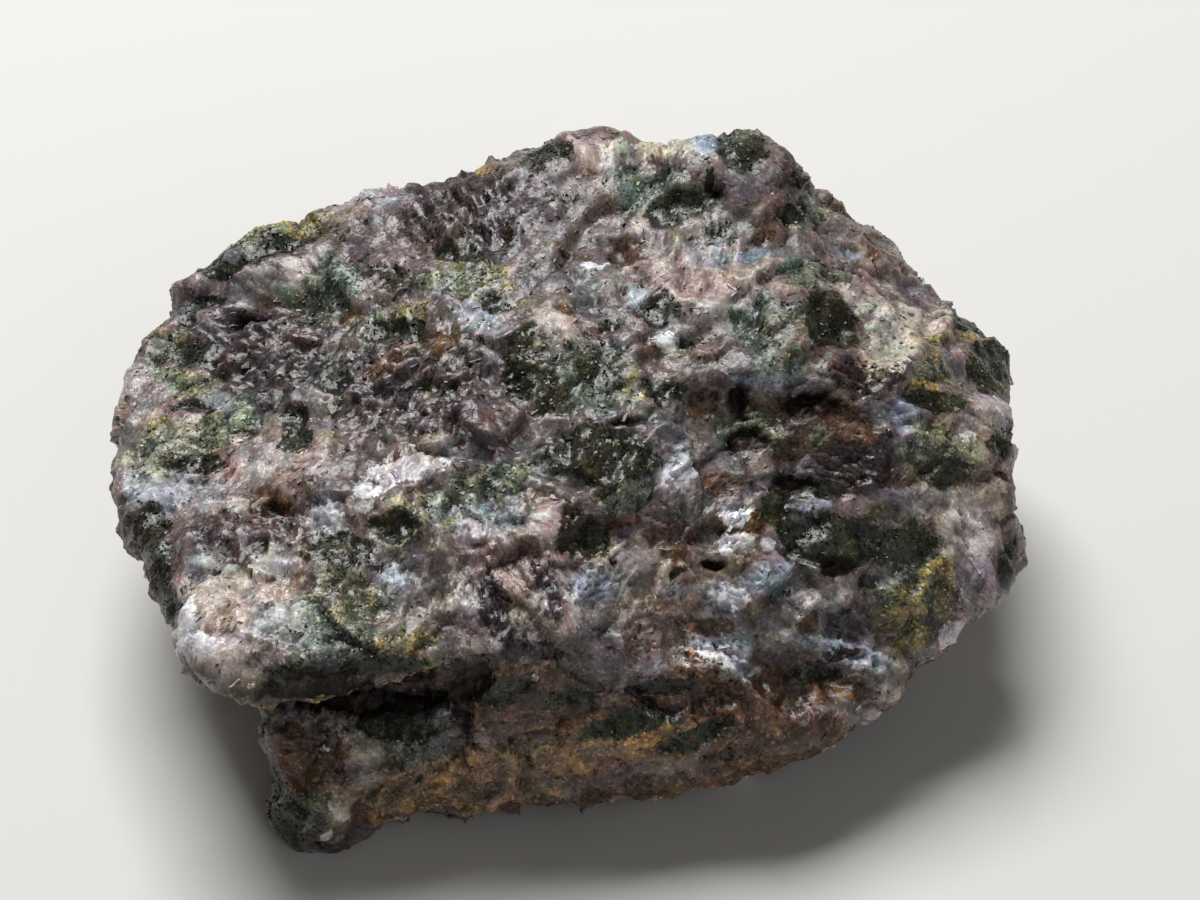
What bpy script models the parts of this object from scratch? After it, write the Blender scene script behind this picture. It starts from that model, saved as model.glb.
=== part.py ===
"""A hand specimen of gabbro, broken on every side: one solid piece of rock.

The stone is worked out in millimetres and built in metres. +Z is up, X runs left to right, Y runs front to
back, and the origin lies on the resting plane below the middle of the stone.

The rock is described the way a quarryman would describe it. Flat fracture faces bound the block, smaller
fractures have knocked steps, ledges and hollows out of it, a few lumps stand on it, and the crystals have
parted along their own flat faces. Each of those is a signed distance, negative inside the rock, and the
surface is where the sum of them is zero along a ray from the stone's heart.
"""

import bmesh
import bpy
import numpy as np
from mathutils import Matrix

METRE = 0.001  # one millimetre, in metres

# Driving dimensions, in millimetres.
HEART = (-1.0, 1.0, 11.5)  # a point well inside, from which every part of the surface is in plain sight
MIDDLE = (-0.16, 4.98, 0.0)  # the middle of the stone's box, which becomes the origin
FARTHEST = 48.0  # no part of the stone is farther from its heart
EDGE_ROUND = 1.3  # how far the fracture faces are blended where they meet
STEP_ROUND = 0.9  # the same for ledges and hollows, whose edges are fresher
REST_FADE = 1.5  # the crystals lose their relief over this height above the resting plane
SEATED = 0.02  # a point lower than this is put on the resting plane
EVENING_ROUNDS = 12  # how often the points are spread out evenly over the surface
HALF_SIZES = (30.5, 23.0, 13.0)  # of the plain block that the stone is cut from
SQUARES = (38, 28, 16)  # along, across and up that block: about 1.6 mm each

# The fracture faces that bound the block: the compass direction that each looks in (degrees from +X towards
# +Y), its tilt above the horizon, and a point that it passes through.
FRACTURES = {
    "top": (270, 85, (4, 12, 24.2)),
    "front slope": (268, 68, (3, -8, 20.0)),
    "left slope": (188, 71, (-18, 1, 18.6)),
    "back left slope": (126, 62, (-17, 22, 20.6)),
    "back left shoulder": (112, 48, (-8, 24, 23.0)),
    "right slope": (12, 60, (21.5, 6, 20.6)),
    "front right slope": (298, 52, (21.5, -3, 15.6)),
    "right side": (356, 12, (30.0, 4, 12)),
    "right back": (40, 22, (26.8, 17.5, 17.2)),
    "back": (86, 14, (8, 25.9, 21)),
    "back left": (128, 14, (-25.4, 21.9, 16.5)),
    "left side": (187, -8, (-31.1, 9, 13)),
    "left back": (158, 5, (-30.0, 15.2, 15)),
    "left front": (205, -8, (-28.0, -4.2, 13)),
    "front": (271, 8, (2, -17.0, 9.5)),
    "front right": (309, 6, (23.5, -9.6, 10)),
    "under front": (274, -46, (2, -17.4, 3.8)),
    "under front middle": (288, -36, (11, -16.0, 4.8)),
    "under front right": (322, -36, (22.6, -10.4, 8.2)),
    "under right": (4, -54, (29.5, 2, 8.6)),
    "under right back": (48, -50, (23, 17, 8)),
    "under back": (92, -46, (0, 24, 9)),
    "under back left": (140, -46, (-21, 19, 8)),
    "under left": (184, -58, (-27, 2, 9.0)),
}

# Steps and ledges. Each is broken away where a point is outside all the faces named here.
STEPS = {
    "notch under the front ledge": (
        (304, -78, (-8, -15.5, 14.9)),
        (262, 46, (-15, -14.6, 9.0)),
        (180, 10, (-6.0, -15, 12)),
    ),
    "left overhang": (
        (200, -76, (-24, -12, 12.2)),
        (184, 4, (-20.4, -14, 6)),
        (262, 0, (-20, 0, 6)),
    ),
    "scoop under the right lip": (
        (285, 62, (14.0, 3.0, 21.0)),
        (274, 4, (13.5, 3.0, 22.5)),
        (350, 24, (7.8, 0, 21.6)),
        (196, 22, (20.8, 0, 18.6)),
    ),
}

# Lumps fused to the block: centre, half sizes, and the compass direction and tilt of the first half size.
LUMPS = {
    "foot": ((-16.3, -15.4, 2.0), (4.3, 4.0, 4.4), 20, 0),
    "back right peak": ((10.7, 21.6, 23.0), (5.4, 5.0, 3.9), 0, 0),
    "back middle peak": ((2.5, 23.4, 22.6), (2.8, 3.0, 3.0), 0, 0),
    "back left knob": ((-20.5, 19.6, 17.4), (4.6, 2.8, 2.6), 15, 0),
}

# Swells and pits in the surface: centre, half width across and half width front to back, and how far each
# stands up or sinks.
SWELLS = {
    "deep end of the scoop": ((11.4, 0.9, 21.2), (3.0, 1.8), -0.7),
    "lip above it": ((13.5, 4.6, 22.8), (7.5, 1.8), 0.4),
    "right shoulder": ((24.0, 11.5, 19.5), (4.5, 5.0), 0.7),
    "ochre swell": ((22.7, -5.2, 13.6), (3.2, 4.2), 0.9),
    "striped slab": ((-2.7, -10.8, 18.2), (5.0, 4.8), 0.6),
    "green lump": ((-8.3, 12.5, 22.3), (4.6, 3.4), 0.8),
    "small dark lump": ((7.5, 10.0, 23.8), (2.8, 2.2), 0.6),
    "brown ledges": ((-9.0, 3.4, 21.9), (7.5, 3.0), -0.9),
    "pit behind": ((9.5, 18.6, 25.6), (1.7, 1.5), -0.5),
    "green pit": ((17.5, 9.0, 23.0), (2.4, 1.8), -0.5),
    "middle pit": ((3.5, 15.2, 24.2), (1.5, 1.3), -0.4),
    "crevice on the left": ((-20.1, 15.7, 17.9), (4.6, 1.2), -0.8),
    "left dip": ((-18.9, -4.3, 18.3), (3.2, 1.6), -0.7),
    "front dip": ((1.6, -7.4, 19.3), (2.0, 2.0), -0.7),
    "smooth brown scoop": ((15.7, -12.4, 10.8), (4.2, 2.4), -0.8),
    "brown hollow in front": ((3.0, -15.6, 13.0), (4.0, 2.4), -0.7),
}

# Broad waves in the fracture faces: wavelength and height.
WAVES = ((17.0, 0.7), (8.0, 0.4))
# Crystals that parted on their own flat faces: width, how far each may stand in or out, and their slope.
GRAINS = ((6.5, 0.17, 0.12), (3.6, 0.13, 0.16))
GRAIN_EDGE = 0.16  # how soft the edge between neighbouring crystals is, as a part of their width

STONE_GREY = (0.17, 0.15, 0.15, 1.0)


def compass(azimuth, tilt):
    """The unit vector that looks in a compass direction, tilted above the horizon, in degrees."""
    a, t = np.radians(azimuth), np.radians(tilt)
    return np.array([np.cos(t) * np.cos(a), np.cos(t) * np.sin(a), np.sin(t)])


def beyond(points, face):
    """How far points lie outside a flat face."""
    azimuth, tilt, through = face
    return (points - np.array(through)) @ compass(azimuth, tilt)


def blend_max(a, b, width):
    """The larger of two distances, rounded where they are nearly equal."""
    near = np.maximum(width - np.abs(a - b), 0.0) / width
    return np.maximum(a, b) + near * near * width / 4


def blend_min(a, b, width):
    """The smaller of two distances, rounded where they are nearly equal."""
    return -blend_max(-a, -b, width)


def to_lump(points, lump):
    """Distance to an ellipsoid that is turned to a compass direction."""
    centre, sizes, azimuth, tilt = lump
    along = compass(azimuth, tilt)
    across = compass(azimuth + 90, 0)
    axes = np.stack([along, across, np.cross(along, across)])
    scaled = (points - np.array(centre)) @ axes.T / np.array(sizes)
    return (np.linalg.norm(scaled, axis=-1) - 1) * min(sizes)


def scatter(cells, salt):
    """Three numbers from 0 to 1 for each whole-numbered cell, always the same for the same cell and salt."""
    x, y, z = (cells[..., i].astype(np.int64).astype(np.uint32) for i in range(3))
    mixed = x * np.uint32(374761393) + y * np.uint32(668265263) + z * np.uint32(2147483647)
    mixed = mixed + np.uint32(salt * 974711 % 4294967296)
    numbers = []
    for turn in (1274126177, 2246822519, 3266489917):
        mixed = (mixed ^ (mixed >> np.uint32(15))) * np.uint32(turn)
        numbers.append((mixed ^ (mixed >> np.uint32(13))) / np.float64(4294967295))
    return np.stack(numbers, axis=-1)


def wave(points, length, salt):
    """Smooth noise from -1 to 1 with a given wavelength: random heights at the corners of a lattice, blended."""
    scaled = points / length
    cell = np.floor(scaled)
    part = scaled - cell
    part = part * part * (3 - 2 * part)
    total = 0.0
    for corner in np.ndindex(2, 2, 2):
        share = np.prod(np.where(corner, part, 1 - part), axis=-1)
        total = total + share * scatter(cell + corner, salt)[..., 0]
    return 2 * total - 1


def crystal_faces(points, width, stand, slope, salt):
    """Each point takes the level and slope of the nearest crystal, with a soft edge to the next one."""
    scaled = points / width
    cell = np.floor(scaled)
    nearest = np.full(points.shape[:-1], np.inf)
    found = []
    for offset in np.ndindex(3, 3, 3):
        corner = cell + np.array(offset) - 1
        from_centre = scaled - corner - scatter(corner, salt)
        distance = np.linalg.norm(from_centre, axis=-1)
        lean = 2 * scatter(corner, salt + 1) - 1
        own = stand * lean[..., 0] + width * slope * np.sum(from_centre * (2 * scatter(corner, salt + 2) - 1), -1)
        nearest = np.minimum(nearest, distance)
        found.append((distance, own))
    shares = [np.exp((nearest - distance) / (GRAIN_EDGE / 2)) for distance, own in found]
    return sum(share * own for share, (distance, own) in zip(shares, found)) / sum(shares)


def swells(points):
    """How far the named swells and pits raise the surface."""
    raised = 0.0
    for centre, (across, along), height in SWELLS.values():
        away = (points - np.array(centre)) / np.array((across, along, max(across, along)))
        near = np.clip(1.25 - np.linalg.norm(away, axis=-1), 0, 1)
        raised = raised + height * near * near * (3 - 2 * near)
    return raised


def block(points):
    """Distance to the block: its fracture faces, less the steps and hollows, with the lumps."""
    distance = None
    for face in FRACTURES.values():
        away = beyond(points, face)
        distance = away if distance is None else blend_max(distance, away, EDGE_ROUND)
    for lump in LUMPS.values():
        distance = blend_min(distance, to_lump(points, lump), EDGE_ROUND)
    for faces in STEPS.values():
        broken = None
        for face in faces:
            away = beyond(points, face)
            broken = away if broken is None else blend_min(broken, away, STEP_ROUND)
        distance = blend_max(distance, broken, STEP_ROUND)
    return distance


def rock(points):
    """Distance to the rock before its crystals are drawn, and never below the plane that it rests on."""
    distance = block(points)
    for salt, (length, height) in enumerate(WAVES):
        distance = distance + height * wave(points, length, salt)
    return np.maximum(distance, -points[..., 2])


def surface(directions, step=1.0, halvings=14):
    """Where each ray from the heart first leaves the rock: walked out in steps, then halved down."""
    heart = np.array(HEART)
    inside = np.zeros(len(directions))
    outside = np.full(len(directions), FARTHEST)
    searching = np.ones(len(directions), bool)
    for reach in np.arange(step, FARTHEST, step):
        out = np.zeros(len(directions), bool)
        out[searching] = rock(heart + directions[searching] * reach) > 0
        outside[out] = reach
        searching &= ~out
        inside[searching] = reach
        if not searching.any():
            break
    for _ in range(halvings):
        middle = (inside + outside) / 2
        out = rock(heart + directions * middle[:, None]) > 0
        outside = np.where(out, middle, outside)
        inside = np.where(out, inside, middle)
    return heart + directions * outside[:, None]


def steepest(points, reach=0.6):
    """The way out of the rock at each point: the direction in which the distance grows fastest."""
    grown = [rock(points + reach * axis) - rock(points - reach * axis) for axis in np.eye(3)]
    outward = np.stack(grown, axis=-1)
    return outward / np.maximum(np.linalg.norm(outward, axis=-1, keepdims=True), 1e-9)


def even_out(points, edges, rounds):
    """Draws every point towards the middle of its neighbours and puts it back on the surface, over and over."""
    neighbours = np.zeros(len(points))
    np.add.at(neighbours, edges.ravel(), 1)
    for _ in range(rounds):
        total = np.zeros_like(points)
        np.add.at(total, edges[:, 0], points[edges[:, 1]])
        np.add.at(total, edges[:, 1], points[edges[:, 0]])
        points = (points + total / neighbours[:, None]) / 2
        points = points - steepest(points) * rock(points)[:, None]
    return points


def with_crystals(points):
    """The surface with its swells and each crystal's own flat face, but smooth where it rests."""
    heights = swells(points)
    for salt, (width, stand, slope) in enumerate(GRAINS):
        heights = heights + crystal_faces(points, width, stand, slope, 10 * salt + 20)
    above_rest = np.clip(points[:, 2] / REST_FADE, 0, 1)
    points = points + steepest(points) * (heights * above_rest)[:, None]
    points[:, 2] = np.maximum(points[:, 2], 0)
    return points


def rounded_block(corners):
    """Turns points on a cube, whose corners are at 1 and -1, into directions spread evenly over the block."""
    ball = np.tan(corners * np.pi / 4)
    spread = ball / np.linalg.norm(ball, axis=1, keepdims=True) * np.array(HALF_SIZES)
    return spread / np.linalg.norm(spread, axis=1, keepdims=True)


def clear_scene():
    for thing in list(bpy.data.objects):
        bpy.data.objects.remove(thing)


def stone_material():
    material = bpy.data.materials.new("gabbro")
    material.use_nodes = True
    shader = material.node_tree.nodes["Principled BSDF"]
    shader.inputs["Base Color"].default_value = STONE_GREY
    shader.inputs["Roughness"].default_value = 0.6
    shader.inputs["Metallic"].default_value = 0.0
    return material


def gridded_cube():
    """A closed cube from -1 to 1 whose faces are gridded in proportion to the block."""
    mesh = bmesh.new()
    along, across, up = SQUARES
    quarter = np.pi / 2
    sides = (
        ((along, across), Matrix.Identity(4)),
        ((along, across), Matrix.Rotation(2 * quarter, 4, "X")),
        ((along, up), Matrix.Rotation(quarter, 4, "X")),
        ((along, up), Matrix.Rotation(-quarter, 4, "X")),
        ((up, across), Matrix.Rotation(quarter, 4, "Y")),
        ((up, across), Matrix.Rotation(-quarter, 4, "Y")),
    )
    for (one_way, other_way), turn in sides:
        place = turn @ Matrix.Translation((0, 0, 1))
        bmesh.ops.create_grid(mesh, x_segments=one_way, y_segments=other_way, size=1, matrix=place)
    bmesh.ops.remove_doubles(mesh, verts=mesh.verts, dist=1e-4)
    mesh.verts.index_update()
    return mesh


def make_stone():
    mesh = gridded_cube()
    corners = np.array([vertex.co for vertex in mesh.verts])
    edges = np.array([[vertex.index for vertex in edge.verts] for edge in mesh.edges])
    points = with_crystals(even_out(surface(rounded_block(corners)), edges, EVENING_ROUNDS))
    points[points[:, 2] < SEATED, 2] = 0.0
    points = points - np.array(MIDDLE)
    print("box", points.min(axis=0), points.max(axis=0))
    for vertex, point in zip(mesh.verts, points):
        vertex.co = point * METRE
    bmesh.ops.recalc_face_normals(mesh, faces=mesh.faces)
    bmesh.ops.triangulate(mesh, faces=mesh.faces, quad_method="SHORT_EDGE")
    data = bpy.data.meshes.new("gabbro")
    mesh.to_mesh(data)
    mesh.free()
    data.materials.append(stone_material())
    stone = bpy.data.objects.new("gabbro", data)
    bpy.context.collection.objects.link(stone)
    return stone


def main():
    clear_scene()
    make_stone()


main()
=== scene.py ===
# %% [markdown]
# # A hand specimen of gabbro
#
# Gabbro cooled slowly, deep down, so its crystals are big enough to see. This piece is broken on every
# side. Pale lilac plagioclase splits into flat steps that flash in the light, and green-black pyroxene
# crumbles into grains, some of them rusted to ochre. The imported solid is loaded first, and all the rest is
# fitted to it.

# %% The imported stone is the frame
import functools

import bpy
import numpy as np
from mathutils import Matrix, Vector


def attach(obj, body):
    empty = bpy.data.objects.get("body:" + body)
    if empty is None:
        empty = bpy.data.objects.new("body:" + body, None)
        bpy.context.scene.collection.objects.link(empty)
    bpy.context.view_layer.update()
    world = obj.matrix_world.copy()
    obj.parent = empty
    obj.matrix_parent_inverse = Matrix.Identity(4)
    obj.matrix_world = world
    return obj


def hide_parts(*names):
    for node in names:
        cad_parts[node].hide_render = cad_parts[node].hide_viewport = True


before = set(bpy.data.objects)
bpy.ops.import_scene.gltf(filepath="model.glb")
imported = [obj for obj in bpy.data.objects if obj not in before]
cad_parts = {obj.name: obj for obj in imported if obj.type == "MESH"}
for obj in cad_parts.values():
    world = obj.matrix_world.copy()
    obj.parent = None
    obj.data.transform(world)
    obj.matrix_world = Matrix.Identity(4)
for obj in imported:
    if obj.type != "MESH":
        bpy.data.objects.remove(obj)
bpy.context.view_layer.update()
MILLIMETRE = 0.001  # in metres

# %% [markdown]
# ## The broken block
#
# The stone could be scanned or sculpted. Here it is described, because a description can be read and
# changed. Flat fracture faces bound the block, three steps are broken out of it, four lumps stand on it,
# and swells and pits bend its faces. The solid was made from these values, so they are repeated in the same
# millimetres.

# %% Fracture faces, steps, lumps, swells and pits
HEART = (-1.0, 1.0, 11.5)  # a point inside, from which all of the surface is in plain sight
MIDDLE = (-0.16, 4.98, 0.0)  # of the stone's box: it becomes the origin
FARTHEST = 48.0  # no part of the stone is farther from its heart
EDGE_ROUND = 1.3  # how widely fracture faces are blended
STEP_ROUND = 0.9  # the same for steps, whose edges are fresher
REST_FADE = 1.5  # the relief fades in over this height
HALF_SIZES = (30.5, 23.0, 13.0)  # of a plain block with the stone's proportions

# Where each face looks, in degrees from +X towards +Y and above the horizon, and a point on it.
FRACTURES = {
    "top": (270, 85, (4, 12, 24.2)),
    "front slope": (268, 68, (3, -8, 20.0)),
    "left slope": (188, 71, (-18, 1, 18.6)),
    "back left slope": (126, 62, (-17, 22, 20.6)),
    "back left shoulder": (112, 48, (-8, 24, 23.0)),
    "right slope": (12, 60, (21.5, 6, 20.6)),
    "front right slope": (298, 52, (21.5, -3, 15.6)),
    "right side": (356, 12, (30.0, 4, 12)),
    "right back": (40, 22, (26.8, 17.5, 17.2)),
    "back": (86, 14, (8, 25.9, 21)),
    "back left": (128, 14, (-25.4, 21.9, 16.5)),
    "left side": (187, -8, (-31.1, 9, 13)),
    "left back": (158, 5, (-30.0, 15.2, 15)),
    "left front": (205, -8, (-28.0, -4.2, 13)),
    "front": (271, 8, (2, -17.0, 9.5)),
    "front right": (309, 6, (23.5, -9.6, 10)),
    "under front": (274, -46, (2, -17.4, 3.8)),
    "under front middle": (288, -36, (11, -16.0, 4.8)),
    "under front right": (322, -36, (22.6, -10.4, 8.2)),
    "under right": (4, -54, (29.5, 2, 8.6)),
    "under right back": (48, -50, (23, 17, 8)),
    "under back": (92, -46, (0, 24, 9)),
    "under back left": (140, -46, (-21, 19, 8)),
    "under left": (184, -58, (-27, 2, 9.0)),
}
# Each step is broken away where a point is outside all the faces named here.
STEPS = {
    "notch under the front ledge": (
        (304, -78, (-8, -15.5, 14.9)),
        (262, 46, (-15, -14.6, 9.0)),
        (180, 10, (-6.0, -15, 12)),
    ),
    "left overhang": (
        (200, -76, (-24, -12, 12.2)),
        (184, 4, (-20.4, -14, 6)),
        (262, 0, (-20, 0, 6)),
    ),
    "scoop under the right lip": (
        (285, 62, (14.0, 3.0, 21.0)),
        (274, 4, (13.5, 3.0, 22.5)),
        (350, 24, (7.8, 0, 21.6)),
        (196, 22, (20.8, 0, 18.6)),
    ),
}
# Lumps fused to the block: centre, half sizes, and the compass direction and tilt of the first half size.
LUMPS = {
    "foot": ((-16.3, -15.4, 2.0), (4.3, 4.0, 4.4), 20, 0),
    "back right peak": ((10.7, 21.6, 23.0), (5.4, 5.0, 3.9), 0, 0),
    "back middle peak": ((2.5, 23.4, 22.6), (2.8, 3.0, 3.0), 0, 0),
    "back left knob": ((-20.5, 19.6, 17.4), (4.6, 2.8, 2.6), 15, 0),
}
# Swells and pits: centre, half width across and front to back, and how far each stands up or sinks.
SWELLS = {
    "deep end of the scoop": ((11.4, 0.9, 21.2), (3.0, 1.8), -0.7),
    "lip above it": ((13.5, 4.6, 22.8), (7.5, 1.8), 0.4),
    "right shoulder": ((24.0, 11.5, 19.5), (4.5, 5.0), 0.7),
    "ochre swell": ((22.7, -5.2, 13.6), (3.2, 4.2), 0.9),
    "striped slab": ((-2.7, -10.8, 18.2), (5.0, 4.8), 0.6),
    "green lump": ((-8.3, 12.5, 22.3), (4.6, 3.4), 0.8),
    "small dark lump": ((7.5, 10.0, 23.8), (2.8, 2.2), 0.6),
    "brown ledges": ((-9.0, 3.4, 21.9), (7.5, 3.0), -0.9),
    "pit behind": ((9.5, 18.6, 25.6), (1.7, 1.5), -0.5),
    "green pit": ((17.5, 9.0, 23.0), (2.4, 1.8), -0.5),
    "middle pit": ((3.5, 15.2, 24.2), (1.5, 1.3), -0.4),
    "crevice on the left": ((-20.1, 15.7, 17.9), (4.6, 1.2), -0.8),
    "left dip": ((-18.9, -4.3, 18.3), (3.2, 1.6), -0.7),
    "front dip": ((1.6, -7.4, 19.3), (2.0, 2.0), -0.7),
    "smooth brown scoop": ((15.7, -12.4, 10.8), (4.2, 2.4), -0.8),
    "brown hollow in front": ((3.0, -15.6, 13.0), (4.0, 2.4), -0.7),
}
WAVES = ((17.0, 0.7), (8.0, 0.4))  # broad waves in the fracture faces: wavelength and height
print(len(FRACTURES), "fracture faces,", len(STEPS), "steps,", len(LUMPS), "lumps,", len(SWELLS), "swells")

# %% Distances to flat faces and lumps
TINY = 1e-9  # keeps a vector without length from being divided by zero


def compass(azimuth, tilt):
    """The unit vector that looks in a compass direction, tilted above the horizon, in degrees."""
    a, t = np.radians(azimuth), np.radians(tilt)
    return np.array([np.cos(t) * np.cos(a), np.cos(t) * np.sin(a), np.sin(t)])


def unit(vectors):
    """Each vector over its own length."""
    return vectors / np.maximum(np.linalg.norm(vectors, axis=-1, keepdims=True), TINY)


def beyond(points, face):
    """How far points lie outside a flat face: their offset from a point on it, along the way it looks."""
    azimuth, tilt, through = face
    return (points - np.array(through)) @ compass(azimuth, tilt)


def blend_max(a, b, width):
    """The larger of two distances, plus a quarter of the squared nearness over the width where they meet."""
    near = np.maximum(width - np.abs(a - b), 0.0) / width
    return np.maximum(a, b) + near * near * width / 4


def blend_min(a, b, width):
    """The smaller of two distances, rounded in the same way."""
    return -blend_max(-a, -b, width)


def blend_all(blend, distances, width):
    """Many distances made one: each is blended with what came before it."""
    return functools.reduce(lambda one, other: blend(one, other, width), distances)


def to_lump(points, lump):
    """Distance to a turned ellipsoid: the length of the offset scaled by the half sizes, less one."""
    centre, sizes, azimuth, tilt = lump
    along = compass(azimuth, tilt)
    across = compass(azimuth + 90, 0)
    axes = np.stack([along, across, np.cross(along, across)])
    scaled = (points - np.array(centre)) @ axes.T / np.array(sizes)
    return (np.linalg.norm(scaled, axis=-1) - 1) * min(sizes)


print("the middle of the top lies", beyond(np.array(HEART), FRACTURES["top"]).round(1), "mm from the heart")


# %% Smooth noise from scattered numbers
def scatter(cells, salt):
    """Three numbers from 0 to 1 for each whole-numbered cell, always the same for the same cell and salt."""
    x, y, z = (cells[..., i].astype(np.int64).astype(np.uint32) for i in range(3))
    mixed = x * np.uint32(374761393) + y * np.uint32(668265263) + z * np.uint32(2147483647)
    mixed = mixed + np.uint32(salt * 974711 % 4294967296)
    numbers = []
    for turn in (1274126177, 2246822519, 3266489917):
        mixed = (mixed ^ (mixed >> np.uint32(15))) * np.uint32(turn)
        numbers.append((mixed ^ (mixed >> np.uint32(13))) / np.float64(4294967295))
    return np.stack(numbers, axis=-1)


def waves(points, length, salt):
    """Three smooth noises from -1 to 1: scattered heights at the corners of a lattice, blended in between."""
    scaled = points / length
    cell = np.floor(scaled)
    part = scaled - cell
    part = part * part * (3 - 2 * part)
    total = 0.0
    for corner in np.ndindex(2, 2, 2):
        share = np.prod(np.where(corner, part, 1 - part), axis=-1)
        total = total + share[..., None] * scatter(cell + corner, salt)
    return 2 * total - 1


# %% The whole block as one distance
def block(points):
    """Distance to the block: the largest of its faces' distances, with the lumps and less the steps."""
    distance = blend_all(blend_max, [beyond(points, face) for face in FRACTURES.values()], EDGE_ROUND)
    lumps = [to_lump(points, lump) for lump in LUMPS.values()]
    distance = blend_all(blend_min, [distance, *lumps], EDGE_ROUND)
    for faces in STEPS.values():
        broken = blend_all(blend_min, [beyond(points, face) for face in faces], STEP_ROUND)
        distance = blend_max(distance, broken, STEP_ROUND)
    return distance


def rock(points):
    """The block's distance plus its broad waves, and never below the plane that it rests on."""
    distance = block(points)
    for salt, (length, height) in enumerate(WAVES):
        distance = distance + height * waves(points, length, salt)[..., 0]
    return np.maximum(distance, -points[..., 2])


def steepest(points, reach=0.6):
    """The way out of the rock: the direction in which its distance grows fastest, from six samples."""
    grown = [rock(points + reach * axis) - rock(points - reach * axis) for axis in np.eye(3)]
    return unit(np.stack(grown, axis=-1))


def surface(directions, step=1.0, halvings=14):
    """Where each ray from the heart first leaves the rock: walked out in steps, then halved down."""
    heart = np.array(HEART)
    reaches = np.arange(0, FARTHEST, step)
    first_out = np.argmax([rock(heart + directions * reach) > 0 for reach in reaches], axis=0)
    inside, outside = reaches[first_out - 1], reaches[first_out]
    for _ in range(halvings):
        middle = (inside + outside) / 2
        out = rock(heart + directions * middle[:, None]) > 0
        outside = np.where(out, middle, outside)
        inside = np.where(out, inside, middle)
    return heart + directions * outside[:, None]


print("the heart is", -rock(np.array([HEART]))[0].round(1), "mm deep")

# %% [markdown]
# ## A closed grid over the stone
#
# A globe's grid crowds its points at two poles. Six square grids on a box have no poles, so the stone's
# points start on a box, are cast out along rays from its heart, and are drawn towards their neighbours
# until they lie evenly. Each square is then split again for the fine surface.

# %% Six gridded sides, joined into one box
SQUARES = (30, 22, 13)  # along, across and up the coarse box: about 2 mm each
FINE = 6  # each coarse square is split this many times each way: about 0.3 mm
EVENING_ROUNDS = 16  # how often the coarse points are drawn towards the middle of their neighbours
FINE_ROUNDS = 3  # the same for the fine points
FINENESS = 1e5  # points that agree to one part in this many of a millimetre are one


def merged(points, quads):
    """Points that share a place become one, and the quads take the new numbers."""
    places = np.round(points * FINENESS).astype(np.int64)
    _, first, number = np.unique(places, axis=0, return_index=True, return_inverse=True)
    return points[first], number.reshape(-1)[quads]


def patch_of_quads(one_way, other_way):
    """The corner numbers of the squares in a grid of that many squares, counted row by row."""
    i, j = np.meshgrid(np.arange(one_way), np.arange(other_way), indexing="ij")
    corner = i * (other_way + 1) + j
    return np.stack([corner, corner + other_way + 1, corner + other_way + 2, corner + 1], -1).reshape(-1, 4)


def box_grid(along, across, up):
    """A closed box from -1 to 1, gridded: on each side two coordinates run, and the third is 1 or -1."""
    counts = (along, across, up)
    points, quads, so_far = [], [], 0
    for axis in range(3):
        for end in (1, -1):
            first, second = ((axis + 1) % 3, (axis + 2) % 3)[::end]
            ticks = (np.linspace(-1, 1, counts[first] + 1), np.linspace(-1, 1, counts[second] + 1))
            side = np.full((counts[first] + 1, counts[second] + 1, 3), float(end))
            side[..., first], side[..., second] = np.meshgrid(*ticks, indexing="ij")
            points.append(side.reshape(-1, 3))
            quads.append(patch_of_quads(counts[first], counts[second]) + so_far)
            so_far += len(points[-1])
    return merged(np.concatenate(points), np.concatenate(quads))


def rounded_block(corners):
    """Directions spread evenly over the block: the tangent of each coordinate, made round, then stretched."""
    return unit(unit(np.tan(corners * np.pi / 4)) * np.array(HALF_SIZES))


def finer(points, quads, times):
    """Each quad becomes a grid of smaller ones, whose corners are weighted means of its own four corners."""
    far, wide = np.meshgrid(*[np.linspace(0, 1, times + 1)] * 2, indexing="ij")
    shares = np.stack([(1 - far) * (1 - wide), far * (1 - wide), far * wide, (1 - far) * wide], -1)
    split = np.einsum("abk,qkc->qabc", shares, points[quads])
    starts = np.arange(len(quads))[:, None, None] * (times + 1) ** 2
    return merged(split.reshape(-1, 3), (patch_of_quads(times, times) + starts).reshape(-1, 4))


# %% The points are evened out and put back on the rock
def edges_of(quads):
    """Every edge once: the four sides of each quad, sorted, without repeats."""
    sides = np.concatenate([quads[:, [i, (i + 1) % 4]] for i in range(4)])
    return np.unique(np.sort(sides, axis=1), axis=0)


def neighbour_mean(values, edges):
    """The mean over each point's neighbours: every edge adds each end's value to the other end's total."""
    total = np.zeros_like(values)
    np.add.at(total, edges[:, 0], values[edges[:, 1]])
    np.add.at(total, edges[:, 1], values[edges[:, 0]])
    return (total.T / np.bincount(edges.ravel(), minlength=len(values))).T


def even_out(points, edges, rounds):
    """Each point moves halfway to its neighbours' mean, then back onto the rock along the steepest way."""
    for _ in range(rounds):
        points = (points + neighbour_mean(points, edges)) / 2
        points = points - steepest(points) * rock(points)[:, None]
    return points


coarse, coarse_quads = box_grid(*SQUARES)
coarse = even_out(surface(rounded_block(coarse)), edges_of(coarse_quads), EVENING_ROUNDS)
smooth, quads = finer(coarse, coarse_quads, FINE)
edges = edges_of(quads)
smooth = even_out(smooth, edges, FINE_ROUNDS)
outward = steepest(smooth)
print(len(smooth), "points and", len(quads), "quads on the smooth rock")
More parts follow.
